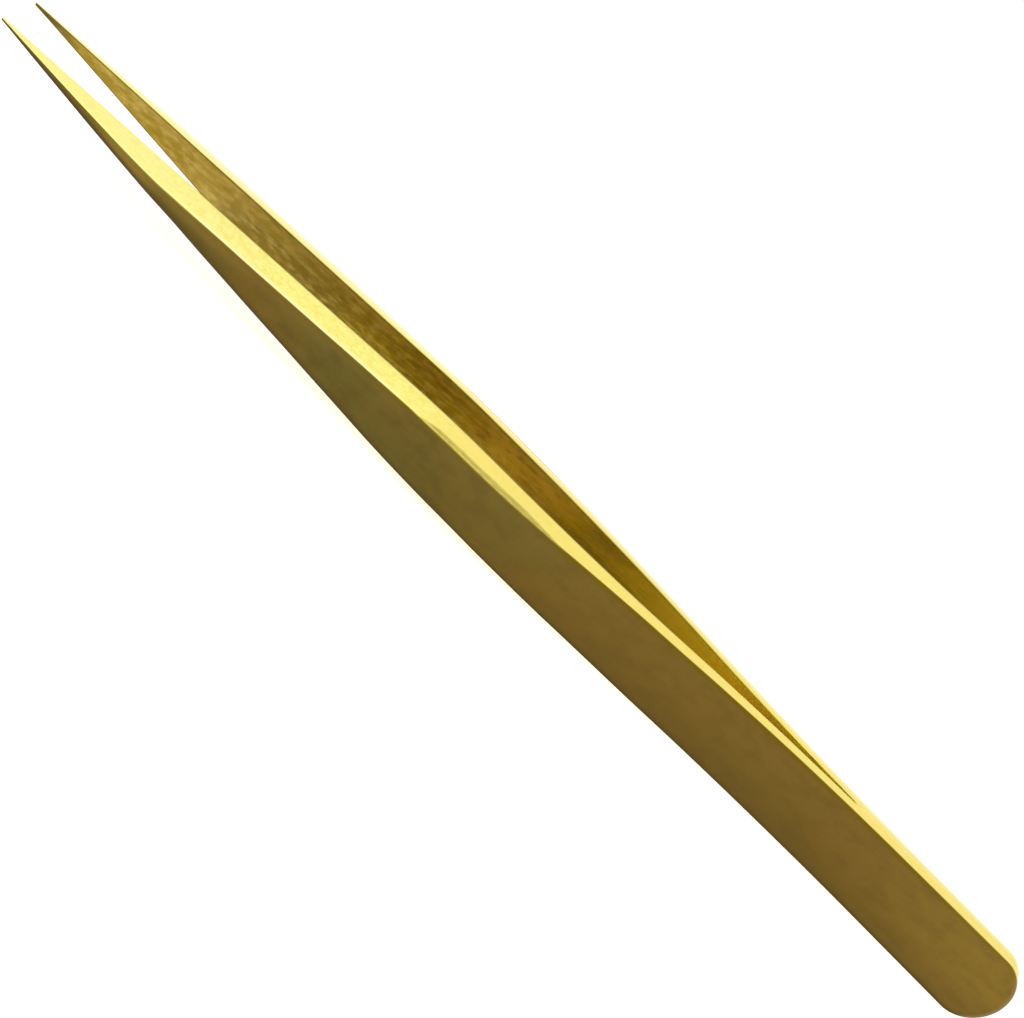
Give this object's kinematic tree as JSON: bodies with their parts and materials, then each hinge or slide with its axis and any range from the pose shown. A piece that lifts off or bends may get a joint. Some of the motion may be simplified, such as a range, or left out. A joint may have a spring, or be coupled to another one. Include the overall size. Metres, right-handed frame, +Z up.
{
  "type": "tweezers",
  "caption": "Straight needle-pointed brass tweezers: springy arms joined at the tail, with a thickened gripping body and ground, tapering flanks.",
  "frame": {"origin": "on the floor, under the middle of the tweezers as they lie on their long edges", "axes": "+X from the tips to the tail, +Y from the near arm to the far arm, +Z up across the width of the arms"},
  "size_m": [0.14, 0.0128, 0.0091],
  "materials": {
    "arm_brass": "brushed, with bright ground flanks and edges",
    "braze": "dull"
  },
  "bodies": {
    "tail": {"near_tail": "arm_brass", "far_tail": "arm_brass", "braze_film": "braze"},
    "near_arm": {"near_spring": "arm_brass", "near_jaw": "arm_brass"},
    "far_arm": {"far_spring": "arm_brass", "far_jaw": "arm_brass"}
  },
  "joints": [
    {"name": "near_arm_bend", "type": "hinge", "parent": "tail", "child": "near_arm", "pos_m": [0.0345, -0.00059, 0.00432], "axis": [0, 0, -1], "range_deg": [0, 1.91], "stiffness_Nm_per_rad": 3.9},
    {"name": "far_arm_bend", "type": "hinge", "parent": "tail", "child": "far_arm", "pos_m": [0.0345, 0.00059, 0.00432], "axis": [0, 0, 1], "range_deg": [0, 1.91], "stiffness_Nm_per_rad": 3.9}
  ]
}
